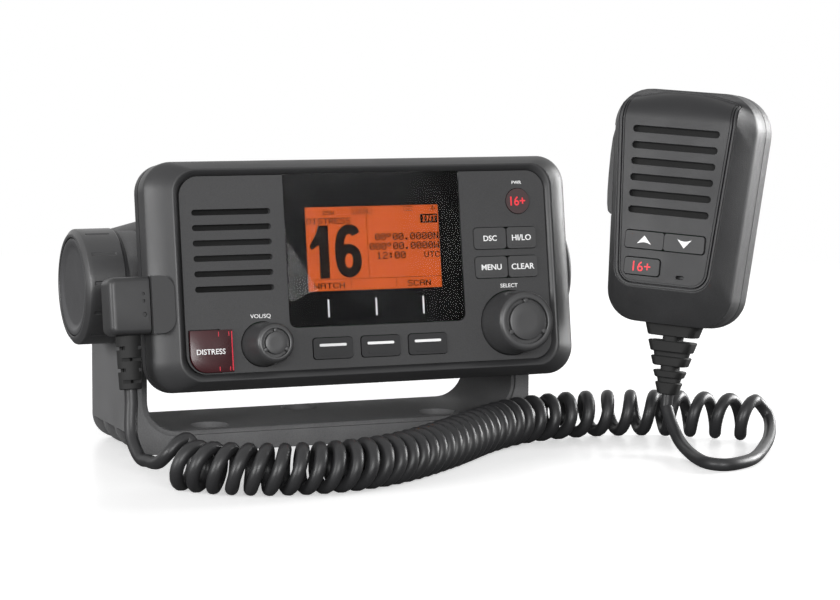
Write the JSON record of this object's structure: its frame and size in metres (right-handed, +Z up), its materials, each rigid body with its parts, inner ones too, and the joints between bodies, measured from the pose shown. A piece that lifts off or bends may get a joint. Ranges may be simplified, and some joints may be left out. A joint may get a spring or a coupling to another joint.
{
  "type": "fixed-mount VHF marine radio",
  "caption": "Marine radio on a tilting U-bracket with gimbal knobs, and a push-to-talk handset standing beside it on a curly cord.",
  "frame": {"origin": "on the bracket's underside, midway between the arms, straight below the tilt axis", "axes": "+X right seen from the front, +Y to the back, +Z up"},
  "size_m": [0.2714, 0.2054, 0.1397],
  "materials": {
    "bracket_plastic": "fine grain, satin",
    "case_plastic": "smooth, satin",
    "panel_plastic": "fine grain, matte",
    "dark_plastic": "fine grain, matte",
    "disc_plastic": "satin",
    "key_rubber": "matte",
    "power_rubber": "matte",
    "window_glass": "polished",
    "display": "lit orange",
    "red_plastic": "satin",
    "cover_plastic": "clear red, polished",
    "cone": "matte",
    "cloth": "open weave",
    "seal": "matte",
    "die_casting": "black coated",
    "steel": "satin",
    "nickel": "satin",
    "brass": "satin",
    "board": "solder mask",
    "cord": "satin"
  },
  "bodies": {
    "bracket": {"bracket": "bracket_plastic", "plug_lead": "cord", "curly_cord": "cord", "handset_lead": "cord", "handset_front": "case_plastic", "handset_rear": "dark_plastic", "handset_plate": "panel_plastic", "handset_speaker": "cone", "mic_capsule": "steel", "handset_board": "board", "handset_screws": "steel", "hang_up_stud": "steel", "handset_relief": "dark_plastic", "talk_switch": "steel"},
    "radio": {"front_bezel": "case_plastic", "face_panel": "panel_plastic", "display_window": "window_glass", "lcd_module": "display", "speaker": "cone", "speaker_cloth": "cloth", "housing_gasket": "seal", "main_housing": "dark_plastic", "rear_cover": "die_casting", "rear_screws": "steel", "main_board": "board", "control_board": "board", "rotary_encoders": "steel", "antenna_socket": "nickel", "cable_glands": "dark_plastic", "gimbal_inserts": "brass", "mic_socket": "case_plastic", "distress_pin": "steel", "mic_plug": "case_plastic", "plug_relief": "dark_plastic"},
    "left_washer": {"left_washer": "steel"},
    "left_knob": {"left_gimbal_knob": "dark_plastic", "left_knob_disc": "disc_plastic", "left_stud": "steel"},
    "right_washer": {"right_washer": "steel"},
    "right_knob": {"right_gimbal_knob": "dark_plastic", "right_knob_disc": "disc_plastic", "right_stud": "steel"},
    "volume_shaft": {"volume_shaft": "steel"},
    "volume_knob": {"volume_knob": "dark_plastic"},
    "selector_shaft": {"selector_shaft": "steel"},
    "selector_knob": {"selector_knob": "dark_plastic"},
    "power_key": {"power_key": "power_rubber"},
    "dsc_key": {"dsc_key": "key_rubber"},
    "high_low_key": {"high_low_key": "key_rubber"},
    "menu_key": {"menu_key": "key_rubber"},
    "clear_key": {"clear_key": "key_rubber"},
    "soft_key_1": {"soft_key_1": "key_rubber"},
    "soft_key_2": {"soft_key_2": "key_rubber"},
    "soft_key_3": {"soft_key_3": "key_rubber"},
    "distress_button": {"distress_button": "red_plastic"},
    "distress_cover": {"distress_cover": "cover_plastic"},
    "talk_key": {"talk_key": "dark_plastic"},
    "up_key": {"up_key": "key_rubber"},
    "down_key": {"down_key": "key_rubber"},
    "handset_channel_key": {"handset_channel_key": "key_rubber"}
  },
  "joints": [
    {"name": "radio_tilt", "type": "hinge", "parent": "bracket", "child": "radio", "pos_m": [0, 0, 0.0637], "axis": [1, 0, 0], "range_deg": [-16, 8], "deforming": ["plug_lead"]},
    {"name": "left_washer_slide", "type": "slide", "parent": "radio", "child": "left_washer", "axis": [-1, 0, 0], "range_m": [0, 0.00375]},
    {"name": "left_knob_turn", "type": "hinge", "parent": "left_washer", "child": "left_knob", "pos_m": [-0.0852, 0, 0.0637], "axis": [-1, 0, 0], "range_deg": [0, 1080]},
    {"name": "right_washer_slide", "type": "slide", "parent": "radio", "child": "right_washer", "axis": [1, 0, 0], "range_m": [0, 0.00375]},
    {"name": "right_knob_turn", "type": "hinge", "parent": "right_washer", "child": "right_knob", "pos_m": [0.0852, 0, 0.0637], "axis": [1, 0, 0], "range_deg": [0, 1080]},
    {"name": "volume_turn", "type": "hinge", "parent": "radio", "child": "volume_shaft", "pos_m": [-0.0442, -0.06336, 0.04721], "axis": [0, -0.9877, 0.1564], "continuous": true},
    {"name": "volume_push", "type": "slide", "parent": "volume_shaft", "child": "volume_knob", "axis": [0, 0.9877, -0.1564], "range_m": [0, 0.0008], "stiffness_N_per_m": 1500, "springref_m": -0.0005},
    {"name": "selector_turn", "type": "hinge", "parent": "radio", "child": "selector_shaft", "pos_m": [0.0569, -0.06275, 0.05106], "axis": [0, -0.9877, 0.1564], "continuous": true},
    {"name": "selector_push", "type": "slide", "parent": "selector_shaft", "child": "selector_knob", "axis": [0, 0.9877, -0.1564], "range_m": [0, 0.0008], "stiffness_N_per_m": 1500, "springref_m": -0.0005},
    {"name": "power_key_press", "type": "slide", "parent": "radio", "child": "power_key", "axis": [0, 0.9877, -0.1564], "range_m": [0, 0.0008], "stiffness_N_per_m": 600, "springref_m": -0.0005},
    {"name": "dsc_key_press", "type": "slide", "parent": "radio", "child": "dsc_key", "axis": [0, 0.9877, -0.1564], "range_m": [0, 0.0008], "stiffness_N_per_m": 600, "springref_m": -0.0005},
    {"name": "high_low_key_press", "type": "slide", "parent": "radio", "child": "high_low_key", "axis": [0, 0.9877, -0.1564], "range_m": [0, 0.0008], "stiffness_N_per_m": 600, "springref_m": -0.0005},
    {"name": "menu_key_press", "type": "slide", "parent": "radio", "child": "menu_key", "axis": [0, 0.9877, -0.1564], "range_m": [0, 0.0008], "stiffness_N_per_m": 600, "springref_m": -0.0005},
    {"name": "clear_key_press", "type": "slide", "parent": "radio", "child": "clear_key", "axis": [0, 0.9877, -0.1564], "range_m": [0, 0.0008], "stiffness_N_per_m": 600, "springref_m": -0.0005},
    {"name": "soft_key_1_press", "type": "slide", "parent": "radio", "child": "soft_key_1", "axis": [0, 0.9877, -0.1564], "range_m": [0, 0.0008], "stiffness_N_per_m": 600, "springref_m": -0.0005},
    {"name": "soft_key_2_press", "type": "slide", "parent": "radio", "child": "soft_key_2", "axis": [0, 0.9877, -0.1564], "range_m": [0, 0.0008], "stiffness_N_per_m": 600, "springref_m": -0.0005},
    {"name": "soft_key_3_press", "type": "slide", "parent": "radio", "child": "soft_key_3", "axis": [0, 0.9877, -0.1564], "range_m": [0, 0.0008], "stiffness_N_per_m": 600, "springref_m": -0.0005},
    {"name": "distress_button_press", "type": "slide", "parent": "radio", "child": "distress_button", "axis": [0, 0.9877, -0.1564], "range_m": [0, 0.001], "stiffness_N_per_m": 600, "springref_m": -0.0005},
    {"name": "distress_cover_swing", "type": "hinge", "parent": "radio", "child": "distress_cover", "pos_m": [-0.0582, -0.05683, 0.04435], "axis": [0, 0.1564, 0.9877], "range_deg": [0, 100], "stiffness_Nm_per_rad": 0.002, "springref_deg": -17.19},
    {"name": "talk_key_press", "type": "slide", "parent": "bracket", "child": "talk_key", "axis": [0.6552, -0.7537, -0.0506], "range_m": [0, 0.001], "stiffness_N_per_m": 900, "springref_m": -0.0005},
    {"name": "up_key_press", "type": "slide", "parent": "bracket", "child": "up_key", "axis": [0.7479, 0.6567, -0.0975], "range_m": [0, 0.0008], "stiffness_N_per_m": 600, "springref_m": -0.0005},
    {"name": "down_key_press", "type": "slide", "parent": "bracket", "child": "down_key", "axis": [0.7479, 0.6567, -0.0975], "range_m": [0, 0.0008], "stiffness_N_per_m": 600, "springref_m": -0.0005},
    {"name": "handset_channel_key_press", "type": "slide", "parent": "bracket", "child": "handset_channel_key", "axis": [0.7479, 0.6567, -0.0975], "range_m": [0, 0.0008], "stiffness_N_per_m": 600, "springref_m": -0.0005}
  ],
  "couplings": [
    {"joint": "left_washer_slide", "follows": "left_knob_turn", "m_per_rad": 0.00019894},
    {"joint": "right_washer_slide", "follows": "right_knob_turn", "m_per_rad": 0.00019894}
  ]
}
